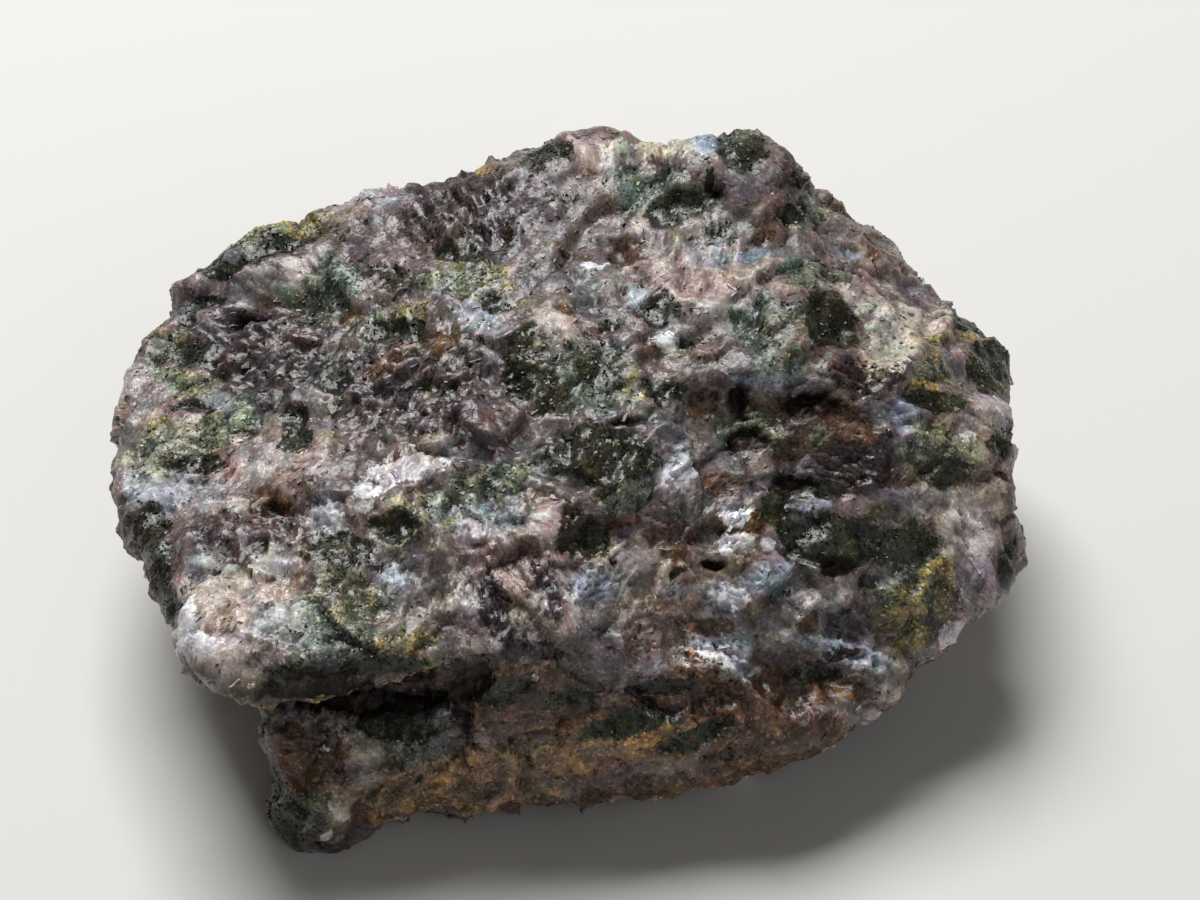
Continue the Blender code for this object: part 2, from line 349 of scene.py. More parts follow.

# %% [markdown]
# ## Where the photographed side shows each mineral
#
# Scattered by chance alone, no clot of pyroxene would lie where the real one does. So the side that was
# photographed is marked with ovals, in the picture's own frame of 1200 by 900. Its camera is worked
# out first: every point of the rock has its place in the picture, and takes the mineral of the oval it
# falls in.

# %% The camera's place, and where it sees each point
PICTURE = (1200, 900)  # pixels
AIM = (2.1, 5.5, 14.0)  # the point at the middle of the picture
CAMERA_AWAY = 230.0  # from there to the lens
CAMERA_TILT = 45.0  # how steeply it looks down, in degrees
FOCAL_PIXELS = 3381.0  # the lens's focal length, in pixels of the picture
LOOKING = compass(90, -CAMERA_TILT)
PICTURE_RIGHT = np.array([1.0, 0.0, 0.0])
PICTURE_UP = np.cross(PICTURE_RIGHT, LOOKING)
LENS_AT = np.array(AIM) - CAMERA_AWAY * LOOKING


def on_picture(points):
    """Each point's place in the picture: its offset from the lens over its depth, times the focal length."""
    away = points - LENS_AT
    depth = away @ LOOKING
    across = PICTURE[0] / 2 + FOCAL_PIXELS * (away @ PICTURE_RIGHT) / depth
    down = PICTURE[1] / 2 - FOCAL_PIXELS * (away @ PICTURE_UP) / depth
    return np.stack([across, down], axis=-1)


to_camera = unit(LENS_AT - smooth)
facing = np.sum(outward * to_camera, axis=1)
print("the camera sees", round(100 * float(np.mean(facing > 0))), "% of the points")

# %% Ovals by mineral: middle across and down, half width, half height, and fall to the right if any
MARKS = {
    "lilac": (
        (262, 452, 60, 30), (300, 545, 40, 20), (365, 206, 42, 13, -8), (208, 290, 16, 7), (212, 317, 16, 6),
        (140, 392, 28, 24), (700, 275, 70, 40), (860, 290, 40, 30, 30), (700, 154, 22, 16),
        (520, 598, 60, 54), (640, 600, 70, 50), (965, 520, 40, 90), (760, 560, 40, 30), (430, 752, 60, 20),
        (320, 780, 40, 40),
    ),
    "speckled": (
        (325, 292, 48, 30, -10), (160, 562, 12, 13), (345, 640, 50, 26), (645, 181, 42, 20),
        (745, 135, 30, 7), (760, 316, 36, 17), (778, 355, 26, 20), (815, 278, 36, 13), (592, 375, 48, 34),
        (622, 498, 26, 18), (940, 567, 10, 13), (915, 603, 42, 42), (410, 737, 60, 28), (443, 718, 10, 4),
        (300, 808, 34, 26), (335, 664, 66, 12, -6),
    ),
    "violet": (
        (260, 350, 55, 40), (245, 530, 50, 24), (470, 215, 55, 35), (795, 176, 15, 13), (865, 372, 28, 18),
        (420, 390, 60, 45), (438, 428, 40, 18), (498, 612, 10, 34, -10), (545, 588, 10, 30, -10),
        (522, 650, 34, 8), (850, 465, 38, 24), (982, 525, 10, 10), (850, 622, 16, 16),
    ),
    "bluish": (
        (378, 203, 26, 6, -8), (215, 402, 18, 8), (175, 483, 50, 26), (388, 575, 19, 14), (225, 565, 28, 5),
        (281, 560, 20, 10, -15), (325, 523, 18, 16), (480, 318, 22, 13), (704, 145, 14, 8),
        (948, 298, 20, 10, 35), (700, 252, 30, 9, 10), (750, 254, 20, 5), (850, 258, 12, 4),
        (636, 296, 12, 9), (480, 522, 40, 16), (597, 592, 28, 17), (668, 590, 14, 10), (715, 590, 20, 12),
        (715, 665, 30, 25), (768, 380, 30, 6), (902, 415, 12, 18), (815, 502, 14, 5), (778, 580, 24, 18),
        (745, 678, 18, 9, -35), (845, 650, 50, 9, 15), (395, 725, 26, 8),
    ),
    "pinkish": (
        (300, 268, 16, 9), (246, 295, 14, 12), (262, 452, 38, 15), (322, 466, 13, 14), (228, 505, 24, 5),
        (245, 602, 60, 28), (595, 157, 19, 24), (640, 210, 11, 6), (560, 325, 25, 18), (720, 310, 8, 19),
        (452, 447, 22, 9), (548, 535, 12, 32), (675, 475, 20, 27), (635, 562, 26, 23), (465, 606, 8, 7),
        (480, 645, 16, 9), (540, 605, 6, 9), (570, 605, 8, 9), (995, 415, 22, 14), (965, 560, 22, 60),
        (985, 600, 22, 20), (825, 598, 24, 12), (800, 712, 34, 11), (875, 690, 16, 9), (240, 702, 7, 8),
        (360, 762, 20, 26), (222, 655, 46, 20, 12),
    ),
    # The two white ovals lowest on the foot are painted highlights, small glints; the other white ovals are
    # white plagioclase.
    "white": (
        (367, 492, 12, 8), (371, 473, 8, 7), (418, 468, 31, 13), (390, 478, 15, 14), (190, 622, 8, 18),
        (590, 256, 10, 5), (665, 338, 14, 7), (675, 475, 12, 18), (735, 600, 14, 9), (705, 660, 24, 9),
        (968, 434, 8, 6), (950, 635, 14, 12), (736, 517, 18, 9), (736, 549, 15, 12), (768, 548, 9, 7),
        (728, 714, 8, 5), (707, 745, 8, 6), (243, 686, 14, 5), (326, 736, 17, 12), (375, 728, 10, 6),
        (442, 706, 14, 6), (342, 812, 10, 13), (205, 648, 12, 14, 20), (330, 840, 8, 6),
    ),
    "cream": (
        (650, 150, 35, 8), (886, 342, 20, 26), (922, 322, 22, 13, 30), (850, 300, 22, 8, 30),
    ),
    "brown": (
        (347, 325, 14, 10), (215, 364, 11, 4), (390, 368, 32, 8, -30), (271, 503, 19, 12), (415, 668, 24, 6),
        (577, 245, 22, 5), (626, 243, 18, 14), (500, 242, 7, 6), (566, 314, 13, 7, 30), (600, 332, 17, 12),
        (843, 207, 12, 9), (874, 252, 7, 14), (762, 240, 18, 5), (445, 342, 18, 5), (455, 362, 16, 6, 25),
        (464, 444, 7, 4), (620, 522, 20, 5), (670, 540, 24, 16), (708, 625, 24, 8), (700, 405, 14, 13),
        (748, 410, 8, 10), (805, 420, 40, 22), (785, 445, 14, 10), (860, 435, 18, 12), (722, 484, 22, 10),
        (950, 476, 14, 8), (760, 525, 14, 9), (805, 622, 11, 9), (800, 680, 36, 17), (845, 690, 28, 9),
        # The ovals at 770, 765 and 600, 815 cover the front of the underside, which lies in shadow: their
        # dark brown is painted shade.
        (700, 715, 90, 35), (535, 706, 66, 34), (312, 755, 30, 30), (770, 765, 80, 30, -20),
        (600, 815, 130, 26, -6),
    ),
    # Small rust spots whose palest grains are bright orange: partly rust, partly painted orange glints.
    "rust_and_glint": (
        (642, 652, 15, 10), (685, 660, 13, 9), (668, 538, 17, 9), (945, 600, 12, 10), (722, 484, 12, 8),
        (812, 715, 16, 8),
    ),
    "ochre": (
        (285, 236, 44, 10, -20), (182, 332, 9, 8), (157, 418, 9, 8), (243, 414, 8, 9), (205, 462, 7, 4),
        (415, 640, 36, 8, -12), (425, 660, 28, 6), (345, 598, 30, 18), (487, 173, 8, 4), (448, 262, 9, 4),
        (482, 278, 34, 14, 20), (410, 322, 18, 8), (757, 195, 5, 4), (932, 346, 14, 8), (970, 342, 15, 8),
        (928, 383, 20, 12), (637, 385, 10, 16), (515, 482, 10, 8), (597, 480, 9, 16), (575, 485, 6, 5),
        (853, 524, 32, 5, -25), (905, 616, 28, 22, -30), (934, 588, 16, 24), (435, 690, 18, 8),
        (395, 655, 26, 10, -6), (405, 800, 26, 7), (266, 796, 6, 8), (298, 852, 9, 7),
    ),
    "stained": (
        (470, 782, 80, 26, -10), (385, 800, 46, 14, -4), (575, 758, 66, 18, -12), (655, 738, 40, 10, -14),
    ),
    "olive": (
        (262, 244, 30, 10, -20), (165, 355, 20, 22), (193, 385, 20, 12), (190, 436, 62, 20, -20),
        (345, 598, 40, 26), (442, 290, 32, 10), (497, 298, 16, 10), (384, 336, 30, 16), (802, 217, 24, 12),
        (760, 335, 20, 5), (500, 478, 48, 17, -20), (438, 507, 42, 15), (740, 432, 30, 17),
        (815, 432, 14, 8), (940, 455, 36, 27),
    ),
    "pyroxene": (
        (222, 268, 22, 10, -30), (205, 305, 22, 5), (187, 312, 9, 9), (195, 353, 20, 12), (338, 384, 20, 12),
        (186, 403, 15, 6), (190, 458, 26, 7), (298, 432, 14, 22), (148, 528, 18, 21), (160, 595, 14, 28),
        (280, 250, 40, 6, -20), (398, 527, 24, 12), (345, 556, 36, 17), (400, 287, 26, 14),
        (396, 338, 34, 13), (470, 262, 26, 6, 10), (552, 157, 28, 8, -15), (675, 207, 30, 13),
        (560, 193, 18, 4), (457, 255, 18, 10), (500, 304, 12, 8), (658, 310, 21, 15), (613, 322, 10, 8),
        (740, 152, 22, 13), (712, 232, 16, 10), (790, 215, 14, 8), (828, 318, 30, 17, 30), (955, 327, 9, 9),
        (985, 368, 18, 18), (930, 402, 24, 8), (438, 388, 18, 7), (520, 364, 22, 34), (550, 390, 10, 16),
        (598, 366, 30, 14), (662, 388, 20, 12), (597, 455, 52, 27), (584, 535, 25, 23), (668, 685, 32, 7),
        (945, 470, 22, 14), (1005, 447, 15, 12), (780, 505, 14, 22), (812, 484, 18, 10), (835, 540, 48, 23),
        (902, 545, 30, 24), (870, 582, 10, 8), (1012, 570, 13, 24), (842, 650, 18, 5), (390, 720, 40, 14),
        (290, 815, 18, 14), (262, 790, 14, 26), (295, 672, 30, 5, 2), (385, 664, 44, 6, -8),
        (630, 722, 46, 10, -8), (705, 738, 36, 9, -16), (560, 700, 34, 8), (508, 690, 34, 12),
        (820, 668, 26, 8),
    ),
    # The hollow ovals lie on pits, the cavity under the right lip and the notch under the front ledge: their
    # near-black colours are painted shade.
    "hollow": (
        (245, 318, 24, 5, -25), (271, 505, 12, 7), (706, 190, 16, 9), (626, 419, 20, 5), (738, 405, 11, 14),
        (805, 405, 30, 13), (742, 438, 22, 12), (790, 478, 22, 10), (838, 568, 22, 11), (712, 565, 12, 4),
        (350, 695, 110, 18),
    ),
}
print({name: len(ovals) for name, ovals in MARKS.items()})

# %% How far inside its nearest oval each point lies
RAGGED = ((5.0, 6.0, 40), (2.2, 6.0, 41), (0.9, 3.0, 42))  # the ovals' edges wander: wavelength, pixels, salt
OVAL_END = 1.1  # an oval reaches this many times its half sizes
NOWHERE = -1.0  # what a point far from a mineral counts
WIDER = {"pyroxene": 0.08, "violet": 0.2, "brown": 0.1}  # these minerals reach this much past their ovals
FRINGED = ("olive", "ochre")  # speckled grains lie under these loose ones, and show between


def turned(places, fall):
    """Picture places, measured along and across a line that falls to the right by so many degrees."""
    turn = np.radians(fall)
    return places @ np.array([[np.cos(turn), -np.sin(turn)], [np.sin(turn), np.cos(turn)]])


def closeness(places, ovals):
    """The oval's end less the length of the offset from its middle, turned and scaled by its half sizes."""
    best = np.full(len(places), NOWHERE)
    for across, down, half_width, half_height, *fall in ovals:
        offset = turned(places - np.array((across, down)), fall[0] if fall else 0)
        scaled = offset / np.array((half_width, half_height))
        best = np.maximum(best, OVAL_END - np.linalg.norm(scaled, axis=1))
    return best


places = on_picture(smooth)
for length, pixels, salt in RAGGED:
    places = places + pixels * waves(smooth, length, salt)[:, :2]
marked = {name: closeness(places, ovals) + WIDER.get(name, 0) for name, ovals in MARKS.items()}
marked["speckled"] = np.max([marked["speckled"], *(marked[name] for name in FRINGED)], axis=0)
in_view = {name: round(100 * float(np.mean(close[facing > 0] > 0)), 1) for name, close in marked.items()}
print(in_view, "% of the view")

# %% [markdown]
# ## What the other sides are made of
#
# The back and the underside were not photographed, so chance gives them the same mixture: clots of pyroxene
# some 7 mm wide among plagioclase, with smaller crystals of 2 to 3 mm in both.

# %% Crystals scattered one to a lattice cell
CLOTS = (7.0, 60)  # the width of a clot of dark minerals, and salt
CRYSTALS = (2.6, 70)  # the width of a crystal in it, and salt
WARPS = ((4.0, 1.6, 50), (1.3, 0.5, 51))  # how crystals' edges wander: wavelength, how far, salt
DARK_SHARE = 0.42  # of the clots
DARK_MIX = {"pyroxene": 0.4, "olive": 0.2, "speckled": 0.22, "ochre": 0.12, "hollow": 0.06}
PALE_MIX = {"violet": 0.22, "lilac": 0.26, "pinkish": 0.2, "bluish": 0.08, "white": 0.02, "cream": 0.04,
            "brown": 0.13}
RISE = 2.0  # how fast the amount of a mineral grows from its edge inwards, up to 1
SEEN_FROM = -0.05  # the least that a surface must face the camera for the ovals to count
SEEN_OVER = 0.2  # and how much more it must face it for nothing else to count


def centres_round(points, width, salt):
    """The scattered centres in the 27 cells round each point: each one's cell, and the offset from it."""
    scaled = points / width
    cell = np.floor(scaled)
    for neighbour in np.ndindex(3, 3, 3):
        corner = cell + np.array(neighbour) - 1
        yield corner, scaled - corner - scatter(corner, salt)


def crystals(points, width, salt):
    """The nearest centre's own three numbers, how far away it is, and how much further the next one is."""
    nearest = second = np.full(len(points), np.inf)
    own = np.zeros((len(points), 3))
    for corner, offset in centres_round(points, width, salt):
        distance = np.linalg.norm(offset, axis=1)
        closer = distance < nearest
        second = np.where(closer, nearest, np.minimum(second, distance))
        own[closer] = scatter(corner[closer], salt + 1)
        nearest = np.minimum(nearest, distance)
    return own, nearest, second - nearest


def bent(points, *bends):
    """Points moved about by smooth noise: each bend has a wavelength, how far it moves them, and salt."""
    moved = points
    for length, far, salt in bends:
        moved = moved + far * waves(points, length, salt)
    return moved


warped = bent(smooth, *WARPS)
clot, _, _ = crystals(warped, *CLOTS)
crystal, _, inside = crystals(warped, *CRYSTALS)
seeded = {name: np.full(len(smooth), NOWHERE) for name in MARKS}
for is_dark, mix in ((True, DARK_MIX), (False, PALE_MIX)):
    drawn = np.where((clot[:, 0] < DARK_SHARE) == is_dark, crystal[:, 0], -1)
    low = 0.0
    for name, share in mix.items():
        chosen = (drawn >= low) & (drawn < low + share)
        low += share
        seeded[name] = np.where(chosen, np.minimum(RISE * inside, 1.0), seeded[name])
seen = np.clip((facing - SEEN_FROM) / SEEN_OVER, 0, 1)
minerals = {name: seen * marked[name] + (1 - seen) * seeded[name] for name in MARKS}
print("the ovals count for", round(100 * float(np.mean(seen)), 1), "% of the stone")

# %% Flecks and specks: small crystals of one mineral inside another
FLECKS = ((1.5, 0.26, 170), (0.7, 0.22, 180))  # crystal width, how far each may push a mineral's edge, salt
DIGITS = 31.0  # a crystal's three numbers, times this, give three more after the point
SPECKS = (0.75, 190)  # the width of single crystals strewn over all, and salt
SPECK_SHARE = 0.008  # of them are dark, and as many are pale
SPECK_STRENGTH = 1.5  # how surely they cover what they lie in
DARK = ("pyroxene", "olive", "ochre", "speckled", "hollow", "brown")  # pale specks lie in these
LOOSE = ("ochre", "rust_and_glint", "stained", "olive", "cream")  # their grains lie apart, and others show between
LOOSELY = 0.11  # how far inside its edge a loose mineral can be at most

for name in LOOSE:
    minerals[name] = np.minimum(minerals[name], LOOSELY)
for width, push, salt in FLECKS:
    own, _, _ = crystals(warped, width, salt)
    for place, name in enumerate(minerals):
        fresh = np.modf(own[:, place % 3] * DIGITS ** (place // 3))[0]
        minerals[name] = minerals[name] + push * (fresh - 0.5)
own, _, inside = crystals(warped, *SPECKS)
dark_specks = np.where(own[:, 0] < SPECK_SHARE, SPECK_STRENGTH * inside, -np.inf)
minerals["pyroxene"] = np.maximum(minerals["pyroxene"], dark_specks)
for name in DARK:
    minerals[name] = minerals[name] - SPECK_STRENGTH * (own[:, 0] > 1 - SPECK_SHARE)
print({name: round(100 * float(np.mean(close > 0)), 1) for name, close in minerals.items()}, "% of the whole")

# %% [markdown]
# ## Relief
#
# Noise makes lumps, but a broken crystal rock has flat facets with sharp edges between them. So the surface
# takes the level and slope of the nearest of many scattered crystals, on three scales. Plagioclase also
# goes down in steps where the break runs aslant to its own flat planes, and pyroxene crumbles into rounded
# grains.

# %% Facets
FACETS = (  # crystal width, how far each may stand in or out, its slope, and how soft its edges are; salt
    (6.5, 0.17, 0.13, 0.06, 20),
    (3.6, 0.11, 0.18, 0.03, 30),
    (1.7, 0.05, 0.21, 0.03, 90),
)


def shared_out(found, softness):
    """One height from many crystals' own: each one's share is the exponent of how much nearer it is."""
    nearest = np.min([distance for distance, _ in found], axis=0)
    shares = [np.exp(2 * (nearest - distance) / softness) for distance, _ in found]
    return sum(share * height for share, (_, height) in zip(shares, found)) / sum(shares)


def facets(points, width, stand, slope, softness, salt):
    """Each point takes the level and slope of the crystal that it is in, blended where two meet."""
    found = []
    for corner, offset in centres_round(points, width, salt):
        level = stand * (2 * scatter(corner, salt + 1)[:, 0] - 1)
        rise = width * slope * np.sum(offset * (2 * scatter(corner, salt + 2) - 1), axis=-1)
        found.append((np.linalg.norm(offset, axis=1), level + rise))
    return shared_out(found, softness)


def span(values):
    """The least and the greatest of them, as words to print."""
    return values.min().round(2), "to", values.max().round(2)


flats = sum(facets(smooth, *size) for size in FACETS)
print("the facets stand", *span(flats), "mm from the smooth rock")

# %% Cleavage steps
CLEAVAGE = (  # crystal width, step, how far the planes lean from the surface, salt
    (6.5, 0.35, 0.30, 100),
    (2.6, 0.16, 0.60, 110),
)
EDGE = 0.06  # how soft the edge between neighbouring crystals is, as a part of their width
WAVY = (1.7, 0.3, 30)  # how the planes are bent: wavelength, how far, salt
WANDER = (1.5, 0.35)  # how each step's edge wanders: wavelength and how far, both in steps
UNEVEN = 0.3  # how far a tread may lie from its own level, in steps
LEAST_SLANT = 0.6  # where the planes lie more aslant than this, the steps grow no higher


def jumbled(whole, own=0.0):
    """A number from -1 to 1 for each whole number: the sine of a large multiple."""
    return np.sin(12.9898 * whole + 78.233 * own)


def lattice(width, salt):
    """One crystal to each lattice cell: its centre, the way the rock faces there, and six numbers."""
    low = np.floor(smooth.min(axis=0) / width).astype(int) - 1
    counts = np.floor(smooth.max(axis=0) / width).astype(int) + 2 - low
    cells = np.stack(np.meshgrid(*[np.arange(count) for count in counts], indexing="ij"), -1) + low
    centres = (cells + scatter(cells, salt)) * width
    return low, centres, steepest(centres), scatter(cells, salt + 1), scatter(cells, salt + 2)


def cleaved(points, width, step, lean, salt):
    """Rounds each point's height along its crystal's planes to a whole step, over the planes' slant."""
    low, centres, faces, leans, spans = lattice(width, salt)
    cell = np.floor(points / width).astype(int) - low
    wander = WANDER[1] * waves(points, WANDER[0] * step, salt)[:, 0]
    found = []
    for neighbour in np.ndindex(3, 3, 3):
        at = tuple((cell + np.array(neighbour) - 1).T)
        offset = points - centres[at]
        across = unit(faces[at] + lean * (2 * leans[at] - 1))
        spacing = step * (0.5 + spans[at][:, 0])
        level = np.sum(offset * across, axis=1) / spacing + spans[at][:, 1]
        tread = np.round(level + wander)
        height = spacing * (tread + UNEVEN * jumbled(tread, spans[at][:, 2]) - level)
        slant = np.maximum(np.sum(outward * across, axis=1), LEAST_SLANT)
        found.append((np.linalg.norm(offset, axis=1) / width, height / slant))
    return shared_out(found, EDGE)


steps = sum(cleaved(bent(smooth, WAVY), *size) for size in CLEAVAGE)
print("the steps stand", *span(steps), "mm from it")

# %% Combs: where the photographed side shows a crystal split into a row of thin plates
COMBS = {  # oval, how far its plates fall to the right, and their thickness and depth in mm
    "striped slab": ((520, 598, 62, 56), 60, 0.55, 0.28),
    "dark comb": ((520, 364, 28, 40), -10, 0.85, 0.50),
    "front comb": ((715, 668, 44, 30), 4, 0.65, 0.34),
    "left ledges": ((262, 345, 66, 46), -14, 1.15, 0.50),
    "middle ledges": ((418, 395, 60, 46), -32, 1.05, 0.50),
    "back ledges": ((470, 215, 56, 36), 62, 1.10, 0.40),
    "right strip": ((968, 556, 26, 66, -10), 62, 0.75, 0.30),
    "left laths": ((322, 523, 30, 26), 50, 0.70, 0.35),
    "pale slope": ((840, 650, 60, 18, 15), 18, 0.70, 0.30),
    "cavity floor": ((850, 462, 44, 30), 30, 0.80, 0.35),
    "right brow": ((850, 372, 40, 24), 24, 0.80, 0.30),
    "feather": ((736, 530, 24, 30), -62, 0.50, 0.20),
}
PLATE_WANDER = (2.0, 0.3, 140)  # how plates' edges wander: wavelength in mm, part of a plate, first salt
PLATE_UNEVEN = 0.35  # how far a plate may lie from its own level, in depths
COMB_RISE = 2.5  # how fast a comb deepens from its oval's edge inwards
PIXELS_PER_MM = FOCAL_PIXELS / CAMERA_AWAY


def combed(oval, fall, thickness, deep, order):
    """A saw tooth across the plates: how far a point is through its plate, times the plates' depth."""
    length, far, salt = PLATE_WANDER
    across = turned(places, fall)[:, 1] / (PIXELS_PER_MM * thickness)
    across = across + far * waves(smooth, length, salt + order)[:, 0]
    plate = np.floor(across)
    tooth = 0.5 - (across - plate) + PLATE_UNEVEN * jumbled(plate)
    return deep * tooth * np.clip(COMB_RISE * closeness(places, [oval]), 0, 1)


combs = seen * sum(combed(*comb, order) for order, comb in enumerate(COMBS.values()))
print("the plates stand", *span(combs), "mm from it")

# %% Crumbled grains, swells and the depth of each mineral
GRAINS = ((1.9, 0.10, 120), (0.9, 0.12, 130))  # grain width, how round and uneven the grains are, salt
GRAIN_MEAN = 0.25  # taken off each grain's level, so that grains don't raise the surface
DEPTHS = {"hollow": -0.4, "pyroxene": -0.15, "brown": -0.1, "white": 0.1, "pinkish": 0.08}
CRUMBLED = ("pyroxene", "olive", "ochre", "speckled")
STEPPED = ("violet", "bluish", "white")
SURELY = 2.5  # how fast a point's belonging to a mineral grows from the edge inwards
STEPS_SHOW = 0.35  # how much of the steps shows in any crystal that hasn't crumbled
STEPS_SHOW_MORE = 0.55  # and how much more in those that split best
SWELL_END = 1.25  # a swell reaches this many times its half widths
SEATED = 0.02  # a point this near the resting plane lies on it
PROUD_REACH = 10  # rounds of averaging over neighbours, to tell edges from what lies round them
PROUD_BY = 0.10  # mm above its surroundings, where an edge is at its palest


def crumbled(points, width, roundness, salt):
    """Each grain is highest at its middle, falls by the squared distance from it, and has its own level."""
    own, away, _ = crystals(points, width, salt)
    return width * roundness * (own[:, 0] - GRAIN_MEAN - away * away)


def swells(points):
    """How far the named swells and pits raise the surface: a smooth step of their end less the distance."""
    raised = 0.0
    for centre, (across, along), height in SWELLS.values():
        away = (points - np.array(centre)) / np.array((across, along, max(across, along)))
        near = np.clip(SWELL_END - np.linalg.norm(away, axis=-1), 0, 1)
        raised = raised + height * near * near * (3 - 2 * near)
    return raised


def covered(names):
    """From 0 to 1, how surely a point belongs to one of these minerals."""
    return np.clip(0.5 + SURELY * np.max([minerals[name] for name in names], axis=0), 0, 1)


grains = sum(crumbled(smooth, *size) for size in GRAINS)
loose = covered(CRUMBLED)
steps_shown = (1 - loose) * (STEPS_SHOW + STEPS_SHOW_MORE * covered(STEPPED))
depth = sum(deep * np.clip(RISE * minerals[name], 0, 1) for name, deep in DEPTHS.items())
above_rest = np.clip(smooth[:, 2] / REST_FADE, 0, 1)
relief = above_rest * (swells(smooth) + depth + flats + combs + loose * grains + steps_shown * steps)
points = smooth + outward * relief[:, None]
points[points[:, 2] < SEATED, 2] = 0.0

# Painted shade and light: a point's height over the mean of its surroundings makes its colour darker in
# crevices and paler on edges.
around = relief
for _ in range(PROUD_REACH):
    around = neighbour_mean(around, edges)
crevice_shade_edge_light = np.clip((relief - around) / PROUD_BY, -1, 1)
print("the relief runs from", *span(relief), "mm")

# %% [markdown]
# ## Which way each crystal lies
#
# Laths and streaks of light run along their crystal, and a texture can't know which way that is. So each
# point carries its place in its own crystal's frame, long axis first. In the combs the axis is the one seen
# in the picture, and elsewhere every crystal is turned by chance.

# %% Each point's place in its own crystal's frame
TURNED = (3.4, 152)  # the width of crystals that are turned each its own way, and salt
CRYSTALS_BENT = (2.0, 0.8, 151)  # wavelength, how far, salt
LATHS_BENT = (1.5, 0.35, 150)
UNTIDY, TIDY = 0.5, 0.15  # how far laths stray from their crystal's axis, and how far in the combs
CLOUDS = ((4.5, 0.18, 160), (1.2, 0.12, 161))  # lighter and darker places: wavelength, how much, salt
OWN_CLOUD = 0.31  # how much lighter the lightest crystals are than the darkest
WARM_TINT = (0.9, 0.1, -0.8)  # red, green and blue added to the warmest crystals, taken from the coolest
GREEN_TINT = (-0.2, 0.3, -0.2)  # the same for the greenest
# Painted shade and light: a comb's plates are drawn paler at their raised edges and darker at their sunk
# feet.
PLATE_SHADING = 1.5  # how much lighter the edge of a comb's plate is than its foot, for each millimetre


def turned_by_chance(numbers):
    """Three perpendicular axes from three numbers: an evenly spread quaternion, as a turning matrix."""
    near, far = np.sqrt(1 - numbers[:, 0]), np.sqrt(numbers[:, 0])
    one, other = 2 * np.pi * numbers[:, 1], 2 * np.pi * numbers[:, 2]
    about = np.stack([near * np.sin(one), near * np.cos(one), far * np.sin(other)], axis=-1)
    cross = np.cross(about[:, None], np.eye(3)).transpose(0, 2, 1)
    return np.eye(3) + 2 * (far * np.cos(other))[:, None, None] * cross + 2 * cross @ cross


def comb_axes(fall):
    """The axes of a comb: along its plates as the picture shows them, across them, and away from the lens."""
    turn = np.radians(fall)
    along = PICTURE_RIGHT * np.cos(turn) - PICTURE_UP * np.sin(turn)
    across = -PICTURE_RIGHT * np.sin(turn) - PICTURE_UP * np.cos(turn)
    return np.stack([along, across, LOOKING])


own, _, _ = crystals(bent(smooth, CRYSTALS_BENT), *TURNED)
axes = turned_by_chance(own)
lath_places = bent(smooth, LATHS_BENT)
laths = np.einsum("pij,pj->pi", axes, lath_places)
long_axes = axes[:, 0]
untidy = np.full(len(smooth), UNTIDY)
for oval, fall, _, _ in COMBS.values():
    in_comb = (seen > 0.5) & (closeness(places, [oval]) > 0)
    laths[in_comb] = lath_places[in_comb] @ comb_axes(fall).T
    long_axes[in_comb] = comb_axes(fall)[0]
    untidy[in_comb] = TIDY
# Besides random clouds and each crystal's own lightness, this holds the combs' painted shade and light.
cloud_and_plate_shade = 0.5 + sum(much * waves(smooth, length, salt)[:, 0] for length, much, salt in CLOUDS) + PLATE_SHADING * combs
tint = np.zeros((len(smooth), 3))
for width, _, _, _, salt in FACETS[1:]:  # the crystals of the two finer sizes of facet
    own, _, _ = crystals(smooth, width, salt)
    cloud_and_plate_shade = cloud_and_plate_shade + OWN_CLOUD * (own[:, 2] - 0.5)
    tint = tint + (own[:, :1] - 0.5) * np.array(WARM_TINT) + (own[:, 1:2] - 0.5) * np.array(GREEN_TINT)
print("the clouds of light and dark run from", *span(cloud_and_plate_shade))

# %% The stone's mesh, with its minerals as attributes
def placed(name, data):
    """An object that holds this data, put into the scene."""
    thing = bpy.data.objects.new(name, data)
    bpy.context.collection.objects.link(thing)
    return thing


def make_mesh(name, points, quads, attributes, smooth_shading):
    """A mesh from arrays in millimetres, moved so that its origin is the middle of the stone's foot."""
    mesh = bpy.data.meshes.new(name)
    corners = ((points - np.array(MIDDLE)) * MILLIMETRE).tolist()
    mesh.from_pydata(corners, [], quads.tolist(), shade_flat=not smooth_shading)
    for label, values in attributes.items():
        kind, field = ("FLOAT", "value") if values.ndim == 1 else ("FLOAT_VECTOR", "vector")
        mesh.attributes.new(label, kind, "POINT").data.foreach_set(field, values.astype(np.float32).ravel())
    mesh.update()
    return placed(name, mesh)


described = {**minerals, "crevice_shade_edge_light": crevice_shade_edge_light, "cloud_and_plate_shade": cloud_and_plate_shade, "tint": tint, "laths": laths * MILLIMETRE}
uncut = {"shade": np.zeros(len(points)), "cut": np.zeros(len(points))}  # the boxes below differ in these
stone = make_mesh("gabbro_stone", points, quads, {**described, **uncut}, True)
print("the stone's mesh has", len(stone.data.polygons), "faces")

# %% [markdown]
# ## Laths and blocks
#
# Up close a broken face is not one surface. Thin laths of plagioclase end at their own levels, and pyroxene
# has crumbled to small blocks. Colour alone could suggest them, but their edges would catch no light. So
# each one is a small box, sunk into the stone with its top slanted, and all the boxes of a kind are one
# mesh.

